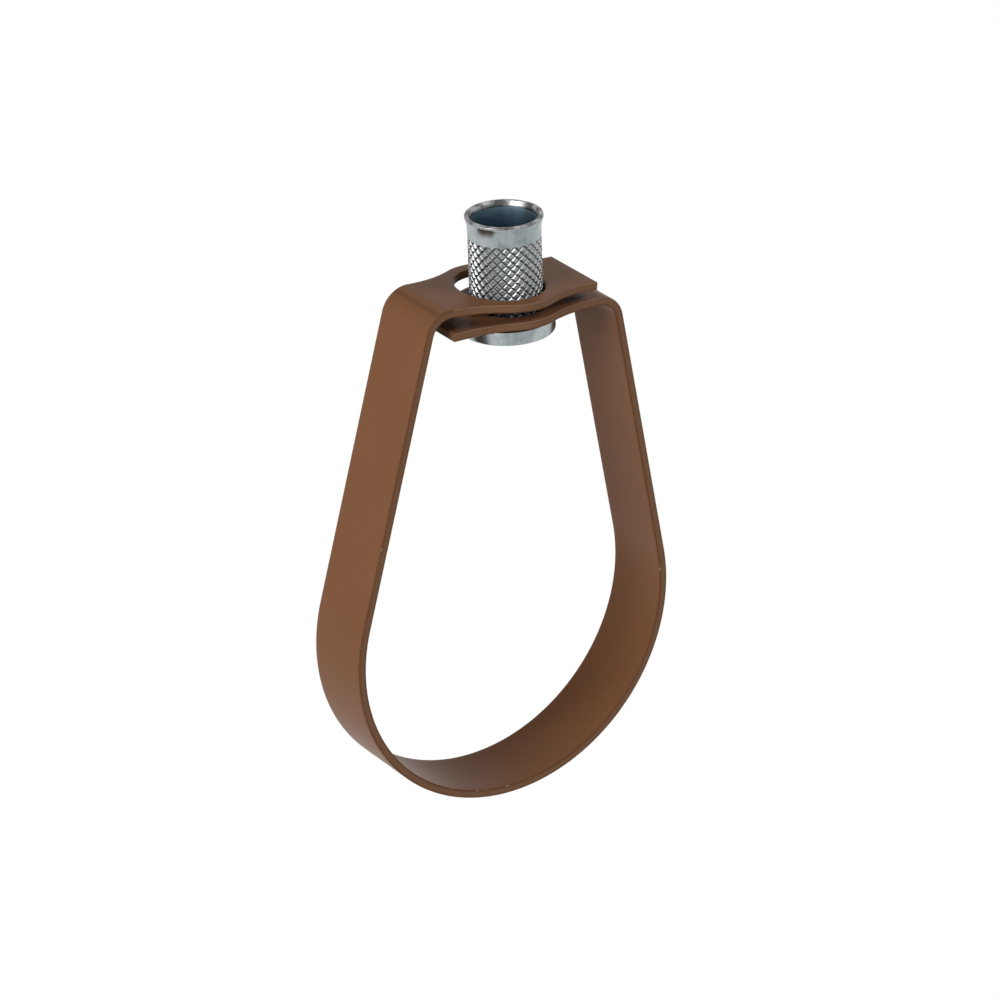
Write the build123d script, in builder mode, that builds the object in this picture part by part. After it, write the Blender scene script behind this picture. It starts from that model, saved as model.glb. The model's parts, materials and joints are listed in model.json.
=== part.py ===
"""Swivel ring hanger: a folded strip ring, and a knurled nut for a hanging rod that it turns on.

Frame: origin on the pipe's axis, +X across the ring, +Y along the pipe, +Z up to the rod.
All lengths are in millimetres and all angles in degrees.
"""

from math import acos, atan2, cos, degrees, hypot, pi, radians, sin, tan
import os

from build123d import *

os.makedirs("parts", exist_ok=True)

# Strip
strip_width = 16.3
strip_thick = 1.75
edge_round = 0.3
hole_edge_round = 0.2

# Ring: a round seat for the pipe, under legs that lean in to the shoulders (bend radii are inside)
seat_r = 36.55
lower_top = 68.85
upper_bend_r = 4.15
lower_bend_r = 4.54
upper_shoulder_run = 1.4963
lower_shoulder_run = 2.5

# Flaps: the upper one folds in from the left leg, the lower one from the right leg, each falling to its end
flap_gap = 2.69
upper_slope = 2.31
lower_slope = 0.55
upper_end_flat = 2.2
lower_end_flat = 3.1

# Holes for the nut, loose in the upper flap and close in the lower, with the edges swollen round them
upper_hole_play = 1.83
lower_hole_play = 0.4
upper_rim = 2.8
lower_rim = 3.18
upper_reach = 16.15
lower_reach = 15.0
swell_margin = 0.25
upper_hole_x = -0.47
lower_hole_x = 1.4

# Nut, leaning a little in its holes and close to the upper hole's right side
nut_r = 7.45
nut_height = 24.65
nut_side_gap = 0.32
nut_lean_x = -2.66
nut_lean_y = 1.2
flange_overlap = 1.98
flange_thick = 3.03
flange_round = 0.35
flange_gap = 0.2

# Flared lip and smooth collar at the nut's mouth
lip_flare = 0.53
lip_wall = 0.9
lip_band = 0.5
lip_round = 0.3
mouth_round = 0.2
flare_length = 3.4
collar_length = 4.45

# Diamond knurl: crossed grooves that leave flat-topped pyramids just inside the collar's radius
knurl_count = 25
knurl_angle = 45
knurl_depth = 0.3
knurl_land_share = 0.6
knurl_inset = 0.03

# Bore: a plain socket over the threaded hole, for a 3/8 in rod
rod_r = 4.7625
thread_depth = 0.79
thread_chamfer = 0.8
socket_wall = 0.75
socket_depth = 9.0
socket_flare = 1.3
drill_point = 118

# Worked out from the sizes above
outer_r = seat_r + strip_thick
upper_hole_r = nut_r + upper_hole_play
lower_hole_r = nut_r + lower_hole_play
flange_r = lower_hole_r + flange_overlap
upper_top = lower_top + flap_gap + strip_thick
half_width = strip_width / 2

# Shoulders: where each leg's outer face and its flap's would meet, past the flap's swell and its bend
left_x = upper_hole_x - upper_reach - upper_bend_r - upper_shoulder_run
left_shoulder = (left_x, upper_top - left_x * tan(radians(upper_slope)))
right_x = lower_hole_x + lower_reach + lower_bend_r + lower_shoulder_run
right_shoulder = (right_x, lower_top + right_x * tan(radians(lower_slope)))

# Each flap's outer face, hole and swell
upper_plane = Plane.XY.offset(upper_top).rotated((0, upper_slope, 0))
lower_plane = Plane.XY.offset(lower_top).rotated((0, -lower_slope, 0))
flaps = (
    (upper_plane, upper_hole_x, upper_hole_r, upper_rim, upper_reach),
    (lower_plane, lower_hole_x, lower_hole_r, lower_rim, lower_reach),
)


def leg_lean(shoulder):
    """How far a leg leans from upright, as a tangent to the seat's outer face from its shoulder."""
    x, z = shoulder
    return degrees(atan2(z, abs(x)) - acos(outer_r / hypot(x, z)))


# Ring band: the strip's side view, drawn on its outer face and carried across its width
with BuildPart() as ring_band:
    with BuildSketch(Plane.XZ):
        with BuildLine():
            upper_end_x = upper_hole_x + upper_reach + upper_end_flat
            upper_end = (upper_end_x, upper_top - upper_end_x * tan(radians(upper_slope)))
            lower_end_x = lower_hole_x - lower_reach - lower_end_flat
            lower_end = (lower_end_x, lower_top + lower_end_x * tan(radians(lower_slope)))
            left_lean, right_lean = leg_lean(left_shoulder), leg_lean(right_shoulder)
            ring = CenterArc((0, 0), outer_r, 180 - left_lean, 180 + left_lean + right_lean)
            FilletPolyline(upper_end, left_shoulder, ring @ 0, radius=upper_bend_r + strip_thick)
            FilletPolyline(ring @ 1, right_shoulder, lower_end, radius=lower_bend_r + strip_thick)
            offset(amount=strip_thick, side=Side.RIGHT)
        make_face()
    extrude(amount=half_width, both=True)

    # Edges swollen round each hole, blended into the strip's straight edges
    for flap_plane, hole_x, hole_r, rim_width, reach in flaps:
        swell_r = hole_r + rim_width
        with BuildSketch(flap_plane) as swell:
            with Locations((hole_x, 0)):
                Rectangle(2 * (reach + swell_margin), strip_width)
                Circle(swell_r)
            crossings = swell.vertices().sort_by_distance((hole_x, 0))[:4]
            blend_r = (reach**2 + half_width**2 - swell_r**2) / (2 * (swell_r - half_width))
            fillet(crossings, radius=blend_r)
        extrude(amount=-strip_thick)

    # Rounded long edges, as a slit and coated strip has
    side_faces = ring_band.faces().filter_by(lambda face: abs(face.normal_at().Y) > 0.8)
    long_edges = side_faces.edges().filter_by(lambda edge: abs(edge.tangent_at(0.5).Z) < 0.99)
    fillet(long_edges, radius=edge_round)

    for flap_plane, hole_x, hole_r, _, _ in flaps:
        with BuildSketch(flap_plane):
            with Locations((hole_x, 0)):
                Circle(hole_r)
        extrude(amount=-strip_thick, mode=Mode.SUBTRACT)
        round_edges = ring_band.edges().filter_by(GeomType.CIRCLE)
        fillet(round_edges.filter_by(lambda edge: abs(edge.radius - hole_r) < 1e-6), radius=hole_edge_round)

ring_band.part.label = "ring_band"
export_step(ring_band.part, "parts/ring_band.step")


# Nut's own frame: on its axis, with height 0 where the flange seats under the lower flap
nut_up = Vector(tan(radians(nut_lean_x)), tan(radians(nut_lean_y)), 1).normalized()
nut_tilt = radians(nut_up.get_angle(lower_plane.z_dir))
nut_top = Vector(upper_hole_x + upper_hole_play - nut_side_gap, 0, upper_top)
nut_drop = lower_plane.to_local_coords(nut_top).Z + strip_thick + flange_gap + flange_r * tan(nut_tilt)
nut_origin = nut_top - nut_up * (nut_drop / cos(nut_tilt))
nut_plane = Plane(origin=nut_origin, x_dir=(1, 0, 0), z_dir=nut_up)
nut_side = Plane(origin=nut_origin, x_dir=nut_plane.x_dir, z_dir=-nut_plane.y_dir)
nut_axis = Axis(nut_origin, nut_up)

body_height = nut_height - flange_thick
knurl_top = body_height - collar_length
lip_r = nut_r + lip_flare
mouth_r = lip_r - lip_wall
socket_r = nut_r - socket_wall
thread_r = rod_r - thread_depth
land_r = nut_r - knurl_inset
groove_r = land_r - knurl_depth
apex_r = (land_r - knurl_land_share * groove_r) / (1 - knurl_land_share)


def knurl_solid(height):
    """A round bar of that height from the flange up, with flat-topped pyramids all round its side."""
    pitch = 2 * pi * nut_r / knurl_count / tan(radians(knurl_angle))
    rows = 2 * round(height / pitch)

    def at(column, row, radius):
        turn = column * pi / knurl_count
        return nut_plane.from_local_coords((radius * cos(turn), radius * sin(turn), row * height / rows))

    def valley(corner):
        return at(*corner, groove_r)

    def land(peak, corner):
        """The pyramid's ridge from its apex to that corner, cut off at the land."""
        apex = at(*peak, apex_r)
        outward = (apex - at(*peak, 0)).normalized()
        ridge = valley(corner) - apex
        return apex + ridge * ((land_r - apex_r) / ridge.dot(outward))

    faces = []
    rims = {0: [], rows: []}
    for row in range(rows + 1):
        for column in range(row % 2, 2 * knurl_count, 2):
            peak = (column, row)
            east, north = (column + 1, row), (column, row + 1)
            west, south = (column - 1, row), (column, row - 1)
            inside = [corner for corner in (east, north, west, south) if 0 <= corner[1] <= rows]
            faces.append(Face(Wire.make_polygon([land(peak, corner) for corner in inside])))
            for a, b in ((east, north), (north, west), (west, south), (south, east)):
                if a in inside and b in inside:
                    flank = [valley(a), valley(b), land(peak, b), land(peak, a)]
                    faces.append(Face(Wire.make_polygon(flank)))
            if row in rims:
                rims[row] += [land(peak, west), land(peak, east), valley(east)]
    for rim in rims.values():
        faces.append(Face(Wire.make_polygon(rim)))
    return Solid(Shell(faces))


with BuildPart() as knurled_nut:
    # Flange
    with BuildSketch(nut_plane):
        Circle(flange_r)
    extrude(amount=-flange_thick)
    fillet(knurled_nut.edges().filter_by(GeomType.CIRCLE), radius=flange_round)

    add(knurl_solid(knurl_top))

    # Collar with its flared lip
    with BuildSketch(nut_side):
        with BuildLine():
            collar_side = Line((nut_r, knurl_top), (nut_r, body_height - flare_length))
            flare = TangentArc(collar_side @ 1, (lip_r, body_height - lip_band), tangent=(0, 1))
            Polyline(flare @ 1, (lip_r, body_height), (0, body_height), (0, knurl_top), collar_side @ 0)
        collar = make_face()
        fillet(collar.vertices().sort_by_distance((lip_r, body_height))[0], radius=lip_round)
    revolve(axis=nut_axis)

    # Flared mouth, plain socket and threaded hole
    with BuildSketch(nut_side):
        with BuildLine():
            mouth_side = (mouth_r, body_height - mouth_round)
            mouth_edge = RadiusArc((mouth_r + mouth_round, body_height), mouth_side, -mouth_round)
            socket_top = (socket_r, body_height - socket_flare)
            TangentArc(socket_top, mouth_side, tangent=(0, 1))
            socket_floor = body_height - socket_depth
            cone_drop = (socket_r - thread_r) / tan(radians(drill_point / 2))
            Polyline(
                socket_top,
                (socket_r, socket_floor),
                (thread_r, socket_floor - cone_drop),
                (thread_r, thread_chamfer - flange_thick),
                (thread_r + thread_chamfer, -flange_thick),
                (0, -flange_thick),
                (0, body_height),
                mouth_edge @ 0,
            )
        make_face()
    revolve(axis=nut_axis, mode=Mode.SUBTRACT)

knurled_nut.part.label = "knurled_nut"
export_step(knurled_nut.part, "parts/knurled_nut.step")
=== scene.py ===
"""Looks of the swivel ring hanger: a coated strip band and a bright knurled nut.

Everything is in metres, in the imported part's frame: +X across the ring, +Y along the pipe, +Z up to
the rod, with the origin on the pipe's axis.
"""

import json
import math

import bmesh
import bpy
import numpy as np
from mathutils import Matrix, Vector


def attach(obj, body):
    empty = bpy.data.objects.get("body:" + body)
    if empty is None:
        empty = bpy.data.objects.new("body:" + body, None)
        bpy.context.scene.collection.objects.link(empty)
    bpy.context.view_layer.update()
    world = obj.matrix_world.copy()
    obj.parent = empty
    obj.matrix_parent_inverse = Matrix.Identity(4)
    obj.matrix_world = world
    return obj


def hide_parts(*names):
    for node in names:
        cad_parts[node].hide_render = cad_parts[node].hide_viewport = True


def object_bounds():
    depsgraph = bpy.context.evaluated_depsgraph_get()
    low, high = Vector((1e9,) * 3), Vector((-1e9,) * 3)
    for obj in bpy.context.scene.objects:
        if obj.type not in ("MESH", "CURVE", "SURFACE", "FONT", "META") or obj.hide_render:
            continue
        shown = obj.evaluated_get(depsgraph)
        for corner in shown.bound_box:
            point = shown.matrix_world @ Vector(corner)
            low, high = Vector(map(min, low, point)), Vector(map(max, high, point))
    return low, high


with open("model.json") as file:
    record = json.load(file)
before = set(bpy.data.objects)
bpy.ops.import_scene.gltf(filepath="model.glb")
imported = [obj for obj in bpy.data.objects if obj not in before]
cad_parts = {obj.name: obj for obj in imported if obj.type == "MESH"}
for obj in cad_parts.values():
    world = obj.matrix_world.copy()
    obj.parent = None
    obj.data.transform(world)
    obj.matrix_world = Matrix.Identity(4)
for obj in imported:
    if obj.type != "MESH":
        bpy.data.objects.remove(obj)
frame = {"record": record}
cad_low, cad_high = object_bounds()

MM = 0.001
record = frame["record"]
mounts = {mount["name"]: mount for mount in record["mounts"]}
swivel = record["behaviour"]["joints"][0]

# Strip, ring and flaps, at the part's own sizes
SEAT_R = mounts["pipe_seat"]["dims"]["r_mm"] * MM
STRIP_WIDTH = 16.3 * MM
STRIP_THICK = 1.75 * MM
EDGE_ROUND = 0.3 * MM
END_ROUND_SHARE = 0.55
HOLE_EDGE_ROUND = 0.2 * MM
LOWER_TOP = 68.85 * MM
LOWER_SLOPE = math.radians(0.55)
FLAP_GAP = 2.69 * MM
UPPER_SLOPE = math.radians(2.31)
UPPER_BEND_R = 4.15 * MM
LOWER_BEND_R = 4.54 * MM
SHOULDER_FLAT = 0.75 * MM
UPPER_END_FLAT = 2.2 * MM
LOWER_END_FLAT = 3.1 * MM
UPPER_HOLE_R = 9.28 * MM
LOWER_HOLE_R = 7.85 * MM
UPPER_RIM = 2.8 * MM
LOWER_RIM = 3.18 * MM
UPPER_REACH = 16.15 * MM
LOWER_REACH = 15.0 * MM
UPPER_HOLE_X = -0.47 * MM
LOWER_HOLE_X = 1.4 * MM

OUTER_R = SEAT_R + STRIP_THICK
HALF_WIDTH = STRIP_WIDTH / 2
UPPER_TOP = LOWER_TOP + FLAP_GAP + STRIP_THICK
SHOULDER_X = LOWER_HOLE_X + LOWER_REACH + LOWER_BEND_R + STRIP_THICK + SHOULDER_FLAT
SHOULDER_Z = LOWER_TOP + SHOULDER_X * math.tan(LOWER_SLOPE)
SHOULDER_RISE = math.atan2(SHOULDER_Z, SHOULDER_X)
LEG_LEAN = SHOULDER_RISE - math.acos(OUTER_R / math.hypot(SHOULDER_X, SHOULDER_Z))

# How finely the band is divided
BEND_STEPS = 22
LEG_STEPS = 14
RING_STEPS = 138
ACROSS_POINTS = 17
END_POINTS = 25
FLAP_STEP = 0.55 * MM
FLAP_RINGS = 6
RING_CROWDING = 0.8

# Marks in the band's per-vertex mark attribute: a dark line of painted shade along rounded edges, a greyer
# painted sheen on the cut rims, or a pale line of painted highlight along rounded edges
PAINTED_SHADE_EDGE = -1.0
RIM = 0.2
PAINTED_HIGHLIGHT_EDGE = 1.0

# A press mark across the upper flap's bend, darkened with painted shade: the marks of the band's rows from
# the flap on
CREASE_DEPTH = 0.12 * MM
CREASE = {6: -0.1, 7: -0.35, 8: -0.5, 9: -0.35, 10: -0.1}

# Nut, in its own frame: height 0 on the flange's seat, along the swivel's axis
NUT_ORIGIN = Vector(swivel["pos_m"])
NUT_UP = Vector(swivel["axis"]).normalized()
NUT_R = 7.45 * MM
FLANGE_R = 9.83 * MM
FLANGE_THICK = 3.03 * MM
FLANGE_ROUND = 0.35 * MM
BODY_HEIGHT = 21.62 * MM
COLLAR_LENGTH = 4.45 * MM
FLARE_LENGTH = 3.4 * MM
LIP_R = 7.98 * MM
LIP_BAND = 0.5 * MM
LIP_ROUND = 0.3 * MM
MOUTH_R = 7.08 * MM
MOUTH_ROUND = 0.2 * MM
SOCKET_R = 6.7 * MM
SOCKET_DEPTH = 9.0 * MM
SOCKET_FLARE = 1.3 * MM
SOCKET_STEPS = 10
DRILL_HALF_ANGLE = math.radians(59)
KNURL_TOP = BODY_HEIGHT - COLLAR_LENGTH
SOCKET_FLOOR = BODY_HEIGHT - SOCKET_DEPTH

# Knurl: grooves each way round, rows of diamonds, and the mesh's steps across a diamond
KNURL_COUNT = 25
KNURL_ROWS = 9
KNURL_STEPS = 12
KNURL_DEPTH = 0.3 * MM
KNURL_LAND_SHARE = 0.6
KNURL_INSET = 0.03 * MM
BURR_HEIGHT = 0.025 * MM
BURR_PLACE = 1.25
BURR_SPREAD = 0.5
KNURL_COLUMNS = KNURL_COUNT * KNURL_STEPS
PITCH_AROUND = 2 * math.pi * NUT_R / KNURL_COUNT
PITCH_UP = KNURL_TOP / KNURL_ROWS
PITCH_ACROSS = 1 / math.hypot(1 / PITCH_AROUND, 1 / PITCH_UP)
GROOVE_HALF = (1 - KNURL_LAND_SHARE) * PITCH_ACROSS / 2

# Thread: one pitch as (share of the pitch, share of the depth), fading out at both ends
THREAD_MINOR_R = mounts["rod_thread"]["dims"]["r_mm"] * MM
THREAD_MAJOR_R = 4.7625 * MM
THREAD_PITCH = 25.4 / 16 * MM
THREAD_CHAMFER = 0.8 * MM
THREAD_RUNOUT = 0.6 * THREAD_PITCH
THREAD_TOP = SOCKET_FLOOR - (SOCKET_R - THREAD_MINOR_R) / math.tan(DRILL_HALF_ANGLE)
THREAD_FOOT = THREAD_CHAMFER - FLANGE_THICK
THREAD_SHAPE = ((0, 0), (0.125, 0), (0.25, 0), (0.406, 0.5), (0.5625, 1), (0.6875, 1), (0.844, 0.5))

# Heights on the nut that lie between the flaps, where the knurl is darkened with painted shade
GAP_LOW = 1.0 * MM
GAP_HIGH = STRIP_THICK + FLAP_GAP + 0.5 * MM

# Marks in the nut's per-vertex mark attribute, which set its painted shade and painted reflection: its
# plain outside is 0 and the knurl's lands are 1
DEEP = -1.0
MOUTH = -0.65
LIP = -0.5
GROOVE = 0.2
SHADED_SHARE = 0.06

# Mesh finish: angles in degrees above which an edge stays sharp, and what counts as one point
BAND_SHARP = 50
NUT_SHARP = 38
FLOOR_SHARP = 30
SAME_POINT = 1e-7

# Coating colours
COAT_DEEP = (0.195, 0.083, 0.036)
COAT_PALE = (0.21, 0.092, 0.042)
COAT_SPECK = (0.27, 0.14, 0.08)
# Painted light on the coating: a sheen on the rims, a pale highlight line and a dark shade line along the
# edges
COAT_RIM_SHEEN = (0.215, 0.113, 0.061)
COAT_EDGE_HIGHLIGHT = (0.27, 0.165, 0.115)
COAT_EDGE_SHADE = (0.08, 0.033, 0.016)
COAT_NICK = (0.42, 0.33, 0.27)
COAT_IOR = 1.15

# Zinc colours
ZINC_DIM = (0.28, 0.325, 0.34)
ZINC_STREAK_SHEEN = (0.42, 0.46, 0.47)
ZINC_BLOTCH = (0.19, 0.22, 0.235)
LIP_DARK_REFLECTION = (0.09, 0.088, 0.09)
LIP_PALE = (0.34, 0.335, 0.34)
# Socket: a bluish plating tint, darkened towards the floor as painted shade
SOCKET_BLUE_SHADE = (0.09, 0.15, 0.215)
SOCKET_PALE = (0.30, 0.44, 0.51)
LAND_DARK = (0.2, 0.21, 0.22)
LAND_PALE = (0.40, 0.415, 0.42)
GROOVE_SHADE = (0.07, 0.075, 0.08)
GROOVE_PALE = (0.34, 0.355, 0.36)
UPRIGHT_STRETCH = (1.0, 1.0, 0.12)

# Floor and world
WHITE = (1, 1, 1, 1)
FLOOR_GREY = (0.8, 0.8, 0.8, 1)
FLOOR_ROUGHNESS = 0.9
FLOOR_HALF = 6.0
FLOOR_DROP = 0.3
WORLD_LIGHT = 0.06

# Camera, at the photograph's viewing angle
CAMERA_TURN = math.radians(-34.995)
CAMERA_HEIGHT = math.radians(24.658)
CAMERA_ROLL = math.radians(1.429)
CAMERA_DISTANCE = 1082.2 * MM
CAMERA_TARGET = Vector((0.96 * MM, 0, 25.184 * MM))
CAMERA_LENS = 190.6
CAMERA_SENSOR = 36
CAMERA_NEAR = 0.05

# Square lamps: name, place, side, watts, and whether bright surfaces mirror it
LAMP_TARGET = Vector((0, 0, 0.03))
LAMPS = (
    ("key", (-0.9, -0.2, 0.38), 0.5, 8, True),
    ("top", (0.5, -0.42, 0.75), 0.3, 2.4, True),
    ("front", (0.32, -0.48, -0.08), 0.55, 0.8, False),
)


# Mesh helpers


class MeshMaker:
    """Collects vertices and faces, and makes one smooth-shaded object of them."""

    def __init__(self):
        self.points = []
        self.faces = []
        self.painted_light_and_wear = {}

    def point(self, position, painted_light_and_wear=0.0):
        self.points.append(tuple(position))
        if painted_light_and_wear:
            self.painted_light_and_wear[len(self.points) - 1] = painted_light_and_wear
        return len(self.points) - 1

    def bridge(self, row_a, row_b, closed=False):
        """Quads between two rows of as many vertices."""
        last = len(row_a) if closed else len(row_a) - 1
        for i in range(last):
            j = (i + 1) % len(row_a)
            self.faces.append((row_a[i], row_a[j], row_b[j], row_b[i]))

    def build(self, name, sharp_angle, merge=0.0):
        mesh = bpy.data.meshes.new(name)
        mesh.from_pydata(self.points, [], self.faces)
        attribute = mesh.attributes.new("painted_light_and_wear_marks", "FLOAT", "POINT")
        values = np.zeros(len(self.points))
        for index, painted_light_and_wear in self.painted_light_and_wear.items():
            values[index] = painted_light_and_wear
        attribute.data.foreach_set("value", values)
        work = bmesh.new()
        work.from_mesh(mesh)
        if merge:
            bmesh.ops.remove_doubles(work, verts=work.verts, dist=merge)
            bmesh.ops.dissolve_degenerate(work, edges=work.edges, dist=merge)
        bmesh.ops.recalc_face_normals(work, faces=work.faces)
        work.to_mesh(mesh)
        work.free()
        mesh.shade_smooth()
        mesh.set_sharp_from_angle(angle=math.radians(sharp_angle))
        piece = bpy.data.objects.new(name, mesh)
        bpy.context.scene.collection.objects.link(piece)
        return piece


def arc_points(centre, radius, start, end, steps):
    """Points on an arc in a plane, both ends included, with angles in radians."""
    angles = np.linspace(start, end, steps + 1)
    return [(centre[0] + radius * math.cos(a), centre[1] + radius * math.sin(a)) for a in angles]


# Ring band


def edge_profile(radius, thick, steps=5, wall_steps=4, top_edge_mark=PAINTED_SHADE_EDGE):
    """A rounded edge from the outer face to the inner face, as (outward reach, depth, mark)."""
    profile = []
    for angle in np.linspace(0, math.pi / 2, steps + 1):
        outward, depth = radius * math.sin(angle), radius * (1 - math.cos(angle))
        profile.append((outward, depth, top_edge_mark * math.sin(2 * angle)))
    for share in np.linspace(0, 1, wall_steps + 1)[1:-1]:
        profile.append((radius, radius + share * (thick - 2 * radius), RIM))
    for angle in np.linspace(math.pi / 2, 0, steps + 1):
        outward, depth = radius * math.sin(angle), thick - radius * (1 - math.cos(angle))
        profile.append((outward, depth, PAINTED_SHADE_EDGE * math.sin(2 * angle)))
    return profile


def bend_centre(side, flap_z, slope, radius):
    """A bend's centre, one bend radius inside both the flap's and the leg's outer lines."""
    leg_normal = (side * math.cos(LEG_LEAN), math.sin(LEG_LEAN))
    flap_normal = (math.sin(slope), math.cos(slope))
    system = np.array([leg_normal, flap_normal])
    reach = np.array([OUTER_R - radius, flap_z * math.cos(slope) - radius])
    return np.linalg.solve(system, reach)


def band_path():
    """The strip's outer face from the upper flap to the lower one, as (x, z, inward x, inward z)."""
    lean = LEG_LEAN
    path = []

    def add_arc(centre, radius, start, end, steps):
        for angle in np.linspace(start, end, steps + 1):
            x, z = math.cos(angle), math.sin(angle)
            path.append((centre[0] + radius * x, centre[1] + radius * z, -x, -z))

    def add_leg(to_x, to_z):
        x, z, inward_x, inward_z = path[-1]
        for share in np.linspace(0, 1, LEG_STEPS + 1)[1:-1]:
            path.append((x + share * (to_x - x), z + share * (to_z - z), inward_x, inward_z))

    upper_r = UPPER_BEND_R + STRIP_THICK
    lower_r = LOWER_BEND_R + STRIP_THICK
    upper_centre = bend_centre(-1, UPPER_TOP, UPPER_SLOPE, upper_r)
    lower_centre = bend_centre(1, LOWER_TOP, -LOWER_SLOPE, lower_r)
    add_arc(upper_centre, upper_r, math.pi / 2 - UPPER_SLOPE, math.pi - lean, BEND_STEPS)
    add_leg(-OUTER_R * math.cos(lean), OUTER_R * math.sin(lean))
    add_arc((0, 0), OUTER_R, math.pi - lean, 2 * math.pi + lean, RING_STEPS)
    add_leg(lower_centre[0] + lower_r * math.cos(lean), lower_centre[1] + lower_r * math.sin(lean))
    add_arc(lower_centre, lower_r, lean, math.pi / 2 + LOWER_SLOPE, BEND_STEPS)
    return path


class Flap:
    """A pierced flap, in its own frame: x to its free end, y along the pipe, depth from its outer face."""

    def __init__(self, height, slope, side, hole_x, hole_r, rim_width, reach, end_flat):
        self.origin = Vector((0, 0, height))
        self.towards_end = Vector((side * math.cos(slope), 0, -math.sin(slope)))
        self.up = Vector((side * math.sin(slope), 0, math.cos(slope)))
        self.hole_x = hole_x
        self.hole_r = hole_r
        self.swell_r = hole_r + rim_width
        self.reach = reach
        self.end_x = (hole_x + reach + end_flat) / math.cos(slope)

    def place(self, x, y, depth):
        return self.origin + self.towards_end * x + Vector((0, y, 0)) - self.up * depth

    def inverse(self, position):
        offset = Vector(position) - self.origin
        return (offset.dot(self.towards_end), position[1], -offset.dot(self.up))

    def from_hole(self, x, y):
        """The direction from the hole's centre towards a point of the flap."""
        away = np.array([x - self.hole_x, y])
        return away / np.linalg.norm(away)

    def side(self, join_x):
        """The side edge from the bend to the free end, as (x, y, outward x, outward y)."""
        hole_x, swell_r, reach = self.hole_x, self.swell_r, self.reach
        blend_r = (reach**2 + HALF_WIDTH**2 - swell_r**2) / (2 * (swell_r - HALF_WIDTH))
        blend_y = HALF_WIDTH + blend_r
        turn = math.atan2(reach, blend_y)
        blend_steps = round(turn * blend_r / FLAP_STEP)
        swell_steps = round(2 * turn * swell_r / FLAP_STEP)
        side = []

        def add_straight(start, end):
            steps = max(1, round((end - start) / FLAP_STEP))
            for x in np.linspace(start, end, steps + 1):
                side.append((x, HALF_WIDTH, 0.0, 1.0))

        def add_blend(centre_x, angles):
            for angle in angles:
                x, y = math.sin(angle), math.cos(angle)
                side.append((centre_x - blend_r * x, blend_y - blend_r * y, x, y))

        add_straight(join_x, hole_x - reach)
        add_blend(hole_x - reach, np.linspace(0, -turn, blend_steps + 1)[1:])
        for angle in np.linspace(-turn, turn, swell_steps + 1)[1:]:
            x, y = math.sin(angle), math.cos(angle)
            side.append((hole_x + swell_r * x, swell_r * y, x, y))
        add_blend(hole_x + reach, np.linspace(turn, 0, blend_steps + 1)[1:])
        side.pop()
        add_straight(hole_x + reach, self.end_x)
        return side

    def outline(self, join_x):
        """One side to the end, across the end, and back: as (x, y, rounding's x, its y, its radius)."""
        side = self.side(join_x)
        end_x, end_radius = self.end_x, EDGE_ROUND * END_ROUND_SHARE
        corner_radius = (EDGE_ROUND + end_radius) / 2
        end_ys = np.linspace(-(HALF_WIDTH - EDGE_ROUND), HALF_WIDTH - EDGE_ROUND, END_POINTS)
        outline = [(x, -y, EDGE_ROUND * nx, -EDGE_ROUND * ny, EDGE_ROUND) for x, y, nx, ny in side[1:-1]]
        outline.append((end_x, -HALF_WIDTH, end_radius, -EDGE_ROUND, corner_radius))
        outline += [(end_x, y, end_radius, 0.0, end_radius) for y in end_ys]
        outline.append((end_x, HALF_WIDTH, end_radius, EDGE_ROUND, corner_radius))
        outline += [(x, y, EDGE_ROUND * nx, EDGE_ROUND * ny, EDGE_ROUND) for x, y, nx, ny in side[-2:0:-1]]
        return outline


def flap_columns(maker, flap, side_minus, side_plus):
    """The flap's rounded edge all round, one column of vertices at each point of its outline."""
    join_x = flap.inverse(maker.points[side_minus[0]])[0]
    columns = [side_minus]
    for x, y, reach_x, reach_y, radius in flap.outline(join_x):
        column = []
        for outward, depth, painted_light_and_wear in edge_profile(radius, STRIP_THICK, top_edge_mark=PAINTED_HIGHLIGHT_EDGE):
            share = outward / radius - 1
            column.append(maker.point(flap.place(x + reach_x * share, y + reach_y * share, depth), painted_light_and_wear))
        columns.append(column)
    columns.append(side_plus)
    for column_a, column_b in zip(columns, columns[1:]):
        maker.bridge(column_a, column_b)
    return columns


def flap_face(maker, flap, rim, depth):
    """A flat face from its outline in to the hole's edge, whose row it gives back."""
    outer = [np.array(flap.inverse(maker.points[index])[:2]) for index in rim]
    rows = [rim]
    for ring in range(1, FLAP_RINGS + 1):
        share = (ring / FLAP_RINGS) ** RING_CROWDING
        row = []
        for start in outer:
            away = flap.from_hole(*start)
            edge = np.array([flap.hole_x, 0]) + away * (flap.hole_r + HOLE_EDGE_ROUND)
            row.append(maker.point(flap.place(*(start * (1 - share) + edge * share), depth)))
        rows.append(row)
    for row_a, row_b in zip(rows, rows[1:]):
        maker.bridge(row_a, row_b, closed=True)
    return rows[-1]


def flap_hole(maker, flap, top_row, bottom_row):
    """The hole's wall with its rounded edges."""
    rows = [top_row]
    for outward, depth, painted_light_and_wear in edge_profile(HOLE_EDGE_ROUND, STRIP_THICK, steps=3)[1:-1]:
        radius = flap.hole_r + HOLE_EDGE_ROUND - outward
        row = []
        for index in top_row:
            x, y = flap.from_hole(*flap.inverse(maker.points[index])[:2])
            row.append(maker.point(flap.place(flap.hole_x + x * radius, y * radius, depth), painted_light_and_wear))
        rows.append(row)
    rows.append(bottom_row)
    for row_a, row_b in zip(rows, rows[1:]):
        maker.bridge(row_a, row_b, closed=True)


def add_flap(maker, flap, join_rows):
    """A flap joined to the strip's section rows."""
    top_join, bottom_join, side_minus, side_plus = join_rows
    columns = flap_columns(maker, flap, side_minus, side_plus)
    top_rim = [column[0] for column in columns] + top_join[-2:0:-1]
    bottom_rim = [column[-1] for column in columns] + bottom_join[-2:0:-1]
    top_row = flap_face(maker, flap, top_rim, 0)
    bottom_row = flap_face(maker, flap, bottom_rim, STRIP_THICK)
    flap_hole(maker, flap, top_row, bottom_row)


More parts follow.
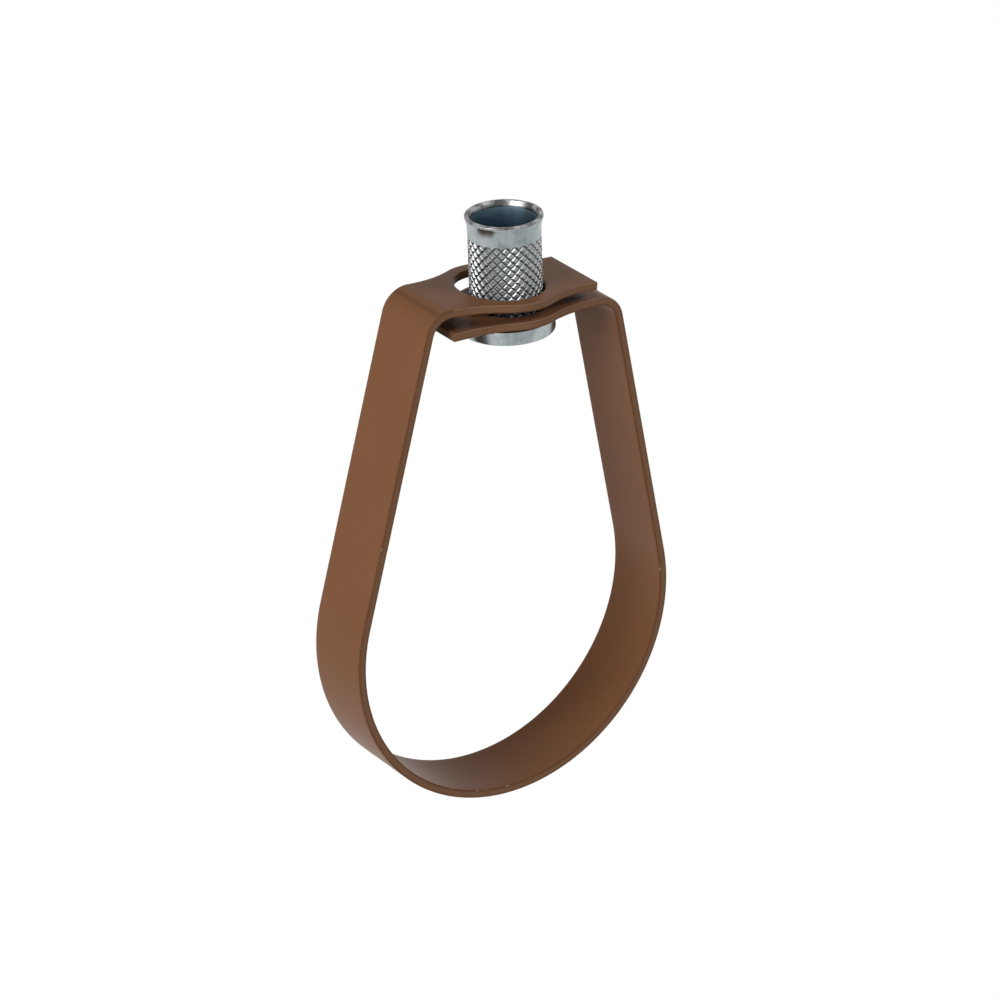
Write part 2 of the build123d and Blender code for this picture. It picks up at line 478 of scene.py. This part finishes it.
def make_band():
    maker = MeshMaker()
    inner_half = HALF_WIDTH - EDGE_ROUND
    across = np.linspace(-inner_half, inner_half, ACROSS_POINTS)
    stations = []
    for station, (x, z, inward_x, inward_z) in enumerate(band_path()):
        def at(y, depth, painted_light_and_wear=0.0):
            return maker.point((x + inward_x * depth, y, z + inward_z * depth), painted_light_and_wear)

        # The outer edge's mark goes from a dark line of painted shade on the upper flap's side to a pale
        # line of painted highlight on the lower flap's
        right_share = min(1.0, max(0.0, 0.5 + x / OUTER_R))
        top_edge_mark = PAINTED_SHADE_EDGE + right_share * (PAINTED_HIGHLIGHT_EDGE - PAINTED_SHADE_EDGE)
        middle = edge_profile(EDGE_ROUND, STRIP_THICK, top_edge_mark=top_edge_mark)[1:-1]
        # A crease row sinks by its mark, and its negative mark darkens it with painted shade
        mark = CREASE.get(station, 0.0)
        top = [at(y, -mark * CREASE_DEPTH, mark) for y in across]
        bottom = [at(y, STRIP_THICK) for y in across]
        minus = [at(-inner_half - outward, depth, painted_light_and_wear) for outward, depth, painted_light_and_wear in middle]
        plus = [at(inner_half + outward, depth, painted_light_and_wear) for outward, depth, painted_light_and_wear in middle]
        stations.append((top, bottom, [top[0], *minus, bottom[0]], [top[-1], *plus, bottom[-1]]))
    for station_a, station_b in zip(stations, stations[1:]):
        for row_a, row_b in zip(station_a, station_b):
            maker.bridge(row_a, row_b)

    upper_sizes = (UPPER_HOLE_X, UPPER_HOLE_R, UPPER_RIM, UPPER_REACH, UPPER_END_FLAT)
    lower_sizes = (-LOWER_HOLE_X, LOWER_HOLE_R, LOWER_RIM, LOWER_REACH, LOWER_END_FLAT)
    add_flap(maker, Flap(UPPER_TOP, UPPER_SLOPE, 1, *upper_sizes), stations[0])
    add_flap(maker, Flap(LOWER_TOP, LOWER_SLOPE, -1, *lower_sizes), stations[-1])
    return maker.build("coated_band", BAND_SHARP, SAME_POINT)


# Knurled nut


class NutMaker(MeshMaker):
    """One closed skin in rows of vertices round the nut's axis, from its thread's top and back."""

    def __init__(self):
        super().__init__()
        side = Vector((1, 0, 0))
        self.side = (side - NUT_UP * side.dot(NUT_UP)).normalized()
        self.front = NUT_UP.cross(self.side)
        self.turns = np.arange(KNURL_COLUMNS) * 2 * math.pi / KNURL_COLUMNS
        self.rows = []

    def at(self, radius, turn, height, painted_light_and_wear=0.0):
        spoke = self.side * math.cos(turn) + self.front * math.sin(turn)
        return self.point(NUT_ORIGIN + spoke * radius + NUT_UP * height, painted_light_and_wear)

    def add_round(self, radius, height, painted_light_and_wear=0.0):
        self.rows.append([self.at(radius, turn, height, painted_light_and_wear) for turn in self.turns])

    def add_profile(self, points, painted_light_and_wear=0.0):
        for radius, height in points:
            self.add_round(radius, height, painted_light_and_wear)


def flare(base_r, tip_r, base_z, tip_z, steps):
    """An arc from base to tip that leaves a straight wall at a tangent."""
    run, rise = tip_r - base_r, tip_z - base_z
    radius = (run * run + rise * rise) / (2 * run)
    angles = np.linspace(0, math.asin(rise / radius), steps + 1)
    return [(base_r + radius * (1 - math.cos(a)), base_z + radius * math.sin(a)) for a in angles]


def add_socket(nut):
    """The drilled cone over the thread, the socket and its flared mouth."""
    for share in np.linspace(0, 1, 6):
        radius = THREAD_MINOR_R + share * (SOCKET_R - THREAD_MINOR_R)
        nut.add_round(radius, THREAD_TOP + share * (SOCKET_FLOOR - THREAD_TOP), DEEP)
    socket_wall = SOCKET_DEPTH - SOCKET_FLARE
    for share in np.linspace(0, 1, SOCKET_STEPS + 1)[1:]:
        # The mark rises from deep to mouth up the wall, so the wall's painted shade lifts towards the mouth
        nut.add_round(SOCKET_R, SOCKET_FLOOR + share * socket_wall, DEEP + (MOUTH - DEEP) * share**3)
    flare_foot, flare_top = BODY_HEIGHT - SOCKET_FLARE, BODY_HEIGHT - MOUTH_ROUND
    nut.add_profile(flare(SOCKET_R, MOUTH_R, flare_foot, flare_top, 8)[1:], LIP)


def add_lip_and_collar(nut):
    mouth_centre = (MOUTH_R + MOUTH_ROUND, BODY_HEIGHT - MOUTH_ROUND)
    nut.add_profile(arc_points(mouth_centre, MOUTH_ROUND, math.pi, math.pi / 2, 4)[1:], LIP)
    lip_centre = (LIP_R - LIP_ROUND, BODY_HEIGHT - LIP_ROUND)
    nut.add_profile(arc_points(lip_centre, LIP_ROUND, math.pi / 2, 0, 8), LIP)
    nut.add_profile(flare(NUT_R, LIP_R, BODY_HEIGHT - FLARE_LENGTH, BODY_HEIGHT - LIP_BAND, 10)[::-1])
    nut.add_round(NUT_R, KNURL_TOP + (COLLAR_LENGTH - FLARE_LENGTH) / 2)
    nut.add_round(NUT_R, KNURL_TOP)


def groove_distance(count):
    """How far a point lies from the nearest groove of one hand, from its count of pitches."""
    return abs(count - math.floor(count) - 0.5) * PITCH_ACROSS


def add_knurl(nut):
    """Crossed grooves between flat-topped diamonds, with a low burr along each groove."""
    knurl_rows = []
    for j in range(KNURL_ROWS * KNURL_STEPS, -1, -1):
        up = j / KNURL_STEPS
        height = up * PITCH_UP
        # Between the flaps the lands keep only a small share of their mark, which paints shade on the knurl
        # there
        clear = SHADED_SHARE if GAP_LOW < height < GAP_HIGH else 1.0
        row = []
        for i, turn in enumerate(nut.turns):
            around = i / KNURL_STEPS
            near = min(groove_distance(around + up), groove_distance(around - up)) / GROOVE_HALF
            cut = KNURL_DEPTH * max(0.0, 1 - near)
            burr = BURR_HEIGHT * max(0.0, 1 - abs(near - BURR_PLACE) / BURR_SPREAD)
            mark = GROOVE + (1 - GROOVE) * min(1.0, near) * clear
            row.append(nut.at(NUT_R - KNURL_INSET - cut + burr, turn, height, mark))
        knurl_rows.append(row)
    nut.rows += knurl_rows
    return knurl_rows


def add_flange(nut):
    top_edge = (FLANGE_R - FLANGE_ROUND, -FLANGE_ROUND)
    low_edge = (FLANGE_R - FLANGE_ROUND, FLANGE_ROUND - FLANGE_THICK)
    foot_r = THREAD_MINOR_R + THREAD_CHAMFER
    nut.add_round(FLANGE_R - FLANGE_ROUND, 0)
    nut.add_profile(arc_points(top_edge, FLANGE_ROUND, math.pi / 2, 0, 5)[1:])
    nut.add_profile(arc_points(low_edge, FLANGE_ROUND, 0, -math.pi / 2, 5))
    for share in np.linspace(0, 1, 5)[1:]:
        nut.add_round(top_edge[0] + share * (foot_r - top_edge[0]), -FLANGE_THICK)
    nut.add_round(THREAD_MINOR_R, THREAD_FOOT)


def add_knurl_faces(nut, knurl_rows):
    """The knurl's faces, cut along whichever groove they lie nearer."""
    for j, (upper, lower) in enumerate(zip(knurl_rows, knurl_rows[1:])):
        up = (KNURL_ROWS * KNURL_STEPS - j - 0.5) / KNURL_STEPS
        for i in range(KNURL_COLUMNS):
            k = (i + 1) % KNURL_COLUMNS
            around = (i + 0.5) / KNURL_STEPS
            if groove_distance(around + up) < groove_distance(around - up):
                nut.faces.append((upper[i], lower[k], upper[k]))
                nut.faces.append((upper[i], lower[i], lower[k]))
            else:
                nut.faces.append((upper[i], lower[i], upper[k]))
                nut.faces.append((lower[i], lower[k], upper[k]))


def add_thread(nut):
    """Rows that climb one pitch a turn, cut level at the foot and the top."""
    per_pitch = len(THREAD_SHAPE)
    pitches = math.ceil((THREAD_TOP - THREAD_FOOT) / THREAD_PITCH) + 1
    rows = []
    for j in range(-per_pitch, pitches * per_pitch + 1):
        share, cut = THREAD_SHAPE[j % per_pitch]
        row = []
        for turn in nut.turns:
            climb = (j // per_pitch + share + turn / (2 * math.pi)) * THREAD_PITCH
            height = min(max(THREAD_FOOT + climb, THREAD_FOOT), THREAD_TOP)
            full = min(1.0, min(height - THREAD_FOOT, THREAD_TOP - height) / THREAD_RUNOUT)
            radius = THREAD_MINOR_R + (THREAD_MAJOR_R - THREAD_MINOR_R) * cut * full
            row.append(nut.at(radius, turn, height, DEEP))
        rows.append(row)
    for j, (row_a, row_b) in enumerate(zip(rows, rows[1:])):
        nut.bridge(row_a, row_b)
        if j + 1 + per_pitch < len(rows):
            next_a, next_b = rows[j + per_pitch][0], rows[j + 1 + per_pitch][0]
            nut.faces.append((row_a[-1], next_a, next_b, row_b[-1]))


def make_nut():
    nut = NutMaker()
    add_socket(nut)
    add_lip_and_collar(nut)
    knurl_rows = add_knurl(nut)
    add_flange(nut)
    for row_a, row_b in zip(nut.rows, nut.rows[1:]):
        if row_a in knurl_rows and row_b in knurl_rows:
            continue
        nut.bridge(row_a, row_b, closed=True)
    add_knurl_faces(nut, knurl_rows)
    add_thread(nut)
    return nut.build("zinc_nut", NUT_SHARP, SAME_POINT)


# Materials


def new_material(name):
    material = bpy.data.materials.new(name)
    material.use_nodes = True
    tree = material.node_tree
    shader = tree.nodes["Principled BSDF"]
    return material, tree, shader


def node(tree, kind, inputs=None, **settings):
    made = tree.nodes.new(kind)
    for key, value in settings.items():
        setattr(made, key, value)
    for key, value in (inputs or {}).items():
        if isinstance(value, bpy.types.NodeSocket):
            tree.links.new(value, made.inputs[key])
        else:
            made.inputs[key].default_value = value
    return made


def noise(tree, place, scale, detail, roughness=0.5):
    inputs = {"Vector": place, "Scale": scale, "Detail": detail, "Roughness": roughness}
    return node(tree, "ShaderNodeTexNoise", inputs).outputs["Fac"]


def maths(tree, operation, *values):
    return node(tree, "ShaderNodeMath", dict(enumerate(values)), operation=operation).outputs["Value"]


def ramp(tree, factor, low, high, low_value=0.0, high_value=1.0):
    inputs = {"Value": factor, "From Min": low, "From Max": high, "To Min": low_value, "To Max": high_value}
    return node(tree, "ShaderNodeMapRange", inputs).outputs["Result"]


def mix_colour(tree, factor, colour_a, colour_b):
    made = node(tree, "ShaderNodeMix", data_type="RGBA")
    for index, value in ((0, factor), (6, colour_a), (7, colour_b)):
        if isinstance(value, bpy.types.NodeSocket):
            tree.links.new(value, made.inputs[index])
        else:
            made.inputs[index].default_value = (*value, 1)
    return made.outputs[2]


def add_bump(tree, shader, height, strength, distance):
    bump = node(tree, "ShaderNodeBump", {"Height": height, "Strength": strength, "Distance": distance})
    tree.links.new(bump.outputs["Normal"], shader.inputs["Normal"])


def painted_light_and_wear_marks(tree):
    return node(tree, "ShaderNodeAttribute", attribute_name="painted_light_and_wear_marks").outputs["Fac"]


def make_coating():
    """A satin copper-brown coating, with pale nicks where the edges are worn, a painted sheen on the rims,
    painted highlight and painted shade lines along the edges, and painted shade in the crease.
    """
    material, tree, shader = new_material("copper_brown_coating")
    place = node(tree, "ShaderNodeTexCoord").outputs["Object"]
    broad = noise(tree, place, 45.0, 3.0)
    fine = noise(tree, place, 1400.0, 4.0)
    chips = noise(tree, place, 420.0, 5.0, 0.7)
    painted_light_and_wear = painted_light_and_wear_marks(tree)

    base = mix_colour(tree, ramp(tree, broad, 0.3, 0.7), COAT_DEEP, COAT_PALE)
    base = mix_colour(tree, ramp(tree, fine, 0.35, 0.75, 0.0, 0.12), base, COAT_SPECK)
    # Painted light by mark: a greyer sheen on the rims, a pale highlight line and dark shade lines along
    # the edges, and shade in the crease
    base = mix_colour(tree, ramp(tree, painted_light_and_wear, 0.0, RIM), base, COAT_RIM_SHEEN)
    base = mix_colour(tree, ramp(tree, painted_light_and_wear, 0.3, PAINTED_HIGHLIGHT_EDGE, 0.0, 0.8), base, COAT_EDGE_HIGHLIGHT)
    base = mix_colour(tree, ramp(tree, painted_light_and_wear, 0.0, -0.6, 0.0, 0.48), base, COAT_EDGE_SHADE)
    worn = ramp(tree, maths(tree, "ABSOLUTE", painted_light_and_wear), 0.5, 0.9)
    nicks = maths(tree, "MULTIPLY", ramp(tree, chips, 0.61, 0.67), worn)
    base = mix_colour(tree, nicks, base, COAT_NICK)
    tree.links.new(base, shader.inputs["Base Color"])
    tree.links.new(ramp(tree, fine, 0.3, 0.7, 0.33, 0.4), shader.inputs["Roughness"])
    shader.inputs["IOR"].default_value = COAT_IOR
    add_bump(tree, shader, noise(tree, place, 650.0, 2.0), 0.06, 0.3 * MM)
    return material


def make_zinc():
    """Zinc plating: bluish in the socket and darkened with painted shade towards its floor, satin outside
    with upright streaks of painted reflection, mottled on the lip with painted dark reflections, mottled on
    the knurl's lands, and with painted shade in the grooves and between the flaps.
    """
    material, tree, shader = new_material("bright_zinc")
    place = node(tree, "ShaderNodeTexCoord").outputs["Object"]
    upright = node(tree, "ShaderNodeMapping", {"Vector": place, "Scale": UPRIGHT_STRETCH}).outputs["Vector"]
    cloud = noise(tree, place, 260.0, 4.0)
    spots = noise(tree, place, 420.0, 4.0)
    speck = noise(tree, place, 2300.0, 3.0)
    reflection_streak = noise(tree, upright, 240.0, 3.0)
    mark = painted_light_and_wear_marks(tree)

    # Painted reflection: soft upright streaks of lighter and darker zinc on the collar and flange
    smooth = mix_colour(tree, ramp(tree, reflection_streak, 0.38, 0.62), ZINC_DIM, ZINC_STREAK_SHEEN)
    smooth = mix_colour(tree, ramp(tree, spots, 0.52, 0.7, 0.0, 0.7), smooth, ZINC_BLOTCH)
    # Painted reflection: random dark patches on the lip and mouth stand for reflected dark surroundings
    lip = mix_colour(tree, ramp(tree, spots, 0.42, 0.58), LIP_DARK_REFLECTION, LIP_PALE)
    lip = mix_colour(tree, ramp(tree, mark, LIP, 0.0), lip, smooth)
    # Painted shade: the socket and thread darken from the mouth down to the floor; the blue tint is the
    # plating's own
    socket = mix_colour(tree, ramp(tree, mark, DEEP, MOUTH), SOCKET_BLUE_SHADE, SOCKET_PALE)
    inside = mix_colour(tree, ramp(tree, mark, MOUTH, LIP), socket, lip)
    land = mix_colour(tree, ramp(tree, speck, 0.4, 0.62), LAND_DARK, LAND_PALE)
    # Painted shade: the knurl's groove bottoms darken, lightening up the flanks towards the lands
    cut = mix_colour(tree, ramp(tree, mark, 0.27, 0.5), GROOVE_SHADE, GROOVE_PALE)
    knurl = mix_colour(tree, ramp(tree, mark, 0.8, 1.0), cut, land)
    base = mix_colour(tree, ramp(tree, mark, 0.05, GROOVE), inside, knurl)
    tree.links.new(base, shader.inputs["Base Color"])
    shader.inputs["Metallic"].default_value = 1.0

    knurl_dull = ramp(tree, mark, 0.3, 0.6, 0.0, 0.14)
    socket_dull = ramp(tree, mark, -0.45, -0.6, 0.0, 0.16)
    rough = maths(tree, "ADD", ramp(tree, cloud, 0.3, 0.7, 0.22, 0.32), knurl_dull)
    rough = maths(tree, "ADD", rough, socket_dull)
    tree.links.new(rough, shader.inputs["Roughness"])
    add_bump(tree, shader, speck, 0.02, 0.1 * MM)
    return material


def seen_white(tree):
    """1 for camera, glossy and transmission rays, which see white, and 0 for the object's light."""
    rays = node(tree, "ShaderNodeLightPath").outputs
    seen = maths(tree, "MAXIMUM", rays["Is Camera Ray"], rays["Is Glossy Ray"])
    return maths(tree, "MAXIMUM", seen, rays["Is Transmission Ray"])


def make_floor_material():
    """A pale floor that the camera and reflections see as white."""
    material, tree, shader = new_material("pale_floor")
    shader.inputs["Base Color"].default_value = FLOOR_GREY
    shader.inputs["Roughness"].default_value = FLOOR_ROUGHNESS
    white = node(tree, "ShaderNodeEmission", {"Color": WHITE, "Strength": 1.0}).outputs["Emission"]
    mix = node(tree, "ShaderNodeMixShader", {0: seen_white(tree), 1: shader.outputs["BSDF"], 2: white})
    tree.links.new(mix.outputs["Shader"], tree.nodes["Material Output"].inputs["Surface"])
    return material


# Camera, floor and light


def make_camera():
    back = Vector((
        math.sin(CAMERA_TURN) * math.cos(CAMERA_HEIGHT),
        -math.cos(CAMERA_TURN) * math.cos(CAMERA_HEIGHT),
        math.sin(CAMERA_HEIGHT),
    ))
    level = Vector((math.cos(CAMERA_TURN), math.sin(CAMERA_TURN), 0))
    upright = back.cross(level)
    right = level * math.cos(CAMERA_ROLL) + upright * math.sin(CAMERA_ROLL)
    up = upright * math.cos(CAMERA_ROLL) - level * math.sin(CAMERA_ROLL)
    data = bpy.data.cameras.new("camera")
    data.lens = CAMERA_LENS
    data.sensor_width = CAMERA_SENSOR
    data.clip_start = CAMERA_NEAR
    camera = bpy.data.objects.new("camera", data)
    bpy.context.scene.collection.objects.link(camera)
    turn = Matrix((right, up, back)).transposed().to_4x4()
    camera.matrix_world = Matrix.Translation(CAMERA_TARGET + back * CAMERA_DISTANCE) @ turn
    bpy.context.scene.camera = camera


def make_floor():
    maker = MeshMaker()
    height = cad_low[2] - FLOOR_DROP
    corners = ((-1, -1), (1, -1), (1, 1), (-1, 1))
    maker.faces.append(tuple(maker.point((x * FLOOR_HALF, y * FLOOR_HALF, height)) for x, y in corners))
    floor = maker.build("floor", FLOOR_SHARP)
    floor.data.materials.append(make_floor_material())


def make_lamp(name, position, side, watts, mirrored):
    data = bpy.data.lights.new(name, "AREA")
    data.shape = "RECTANGLE"
    data.size, data.size_y = side, side
    data.energy = watts
    lamp = bpy.data.objects.new(name, data)
    bpy.context.scene.collection.objects.link(lamp)
    lamp.location = position
    lamp.visible_glossy = mirrored
    lamp.rotation_euler = (LAMP_TARGET - Vector(position)).to_track_quat("-Z", "Y").to_euler()


def make_world():
    world = bpy.data.worlds.new("studio")
    bpy.context.scene.world = world
    world.use_nodes = True
    tree = world.node_tree
    tree.nodes.clear()
    soft = node(tree, "ShaderNodeBackground", {"Color": WHITE, "Strength": WORLD_LIGHT})
    white = node(tree, "ShaderNodeBackground", {"Color": WHITE, "Strength": 1.0})
    shaders = {0: seen_white(tree), 1: soft.outputs["Background"], 2: white.outputs["Background"]}
    mix = node(tree, "ShaderNodeMixShader", shaders)
    out = node(tree, "ShaderNodeOutputWorld")
    tree.links.new(mix.outputs["Shader"], out.inputs["Surface"])


make_camera()
make_world()
make_floor()
for lamp_values in LAMPS:
    make_lamp(*lamp_values)

band = make_band()
band.data.materials.append(make_coating())
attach(band, "band")
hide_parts("ring_band")

nut = make_nut()
nut.data.materials.append(make_zinc())
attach(nut, "nut")
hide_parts("knurled_nut")

bpy.context.scene.view_settings.view_transform = "Standard"
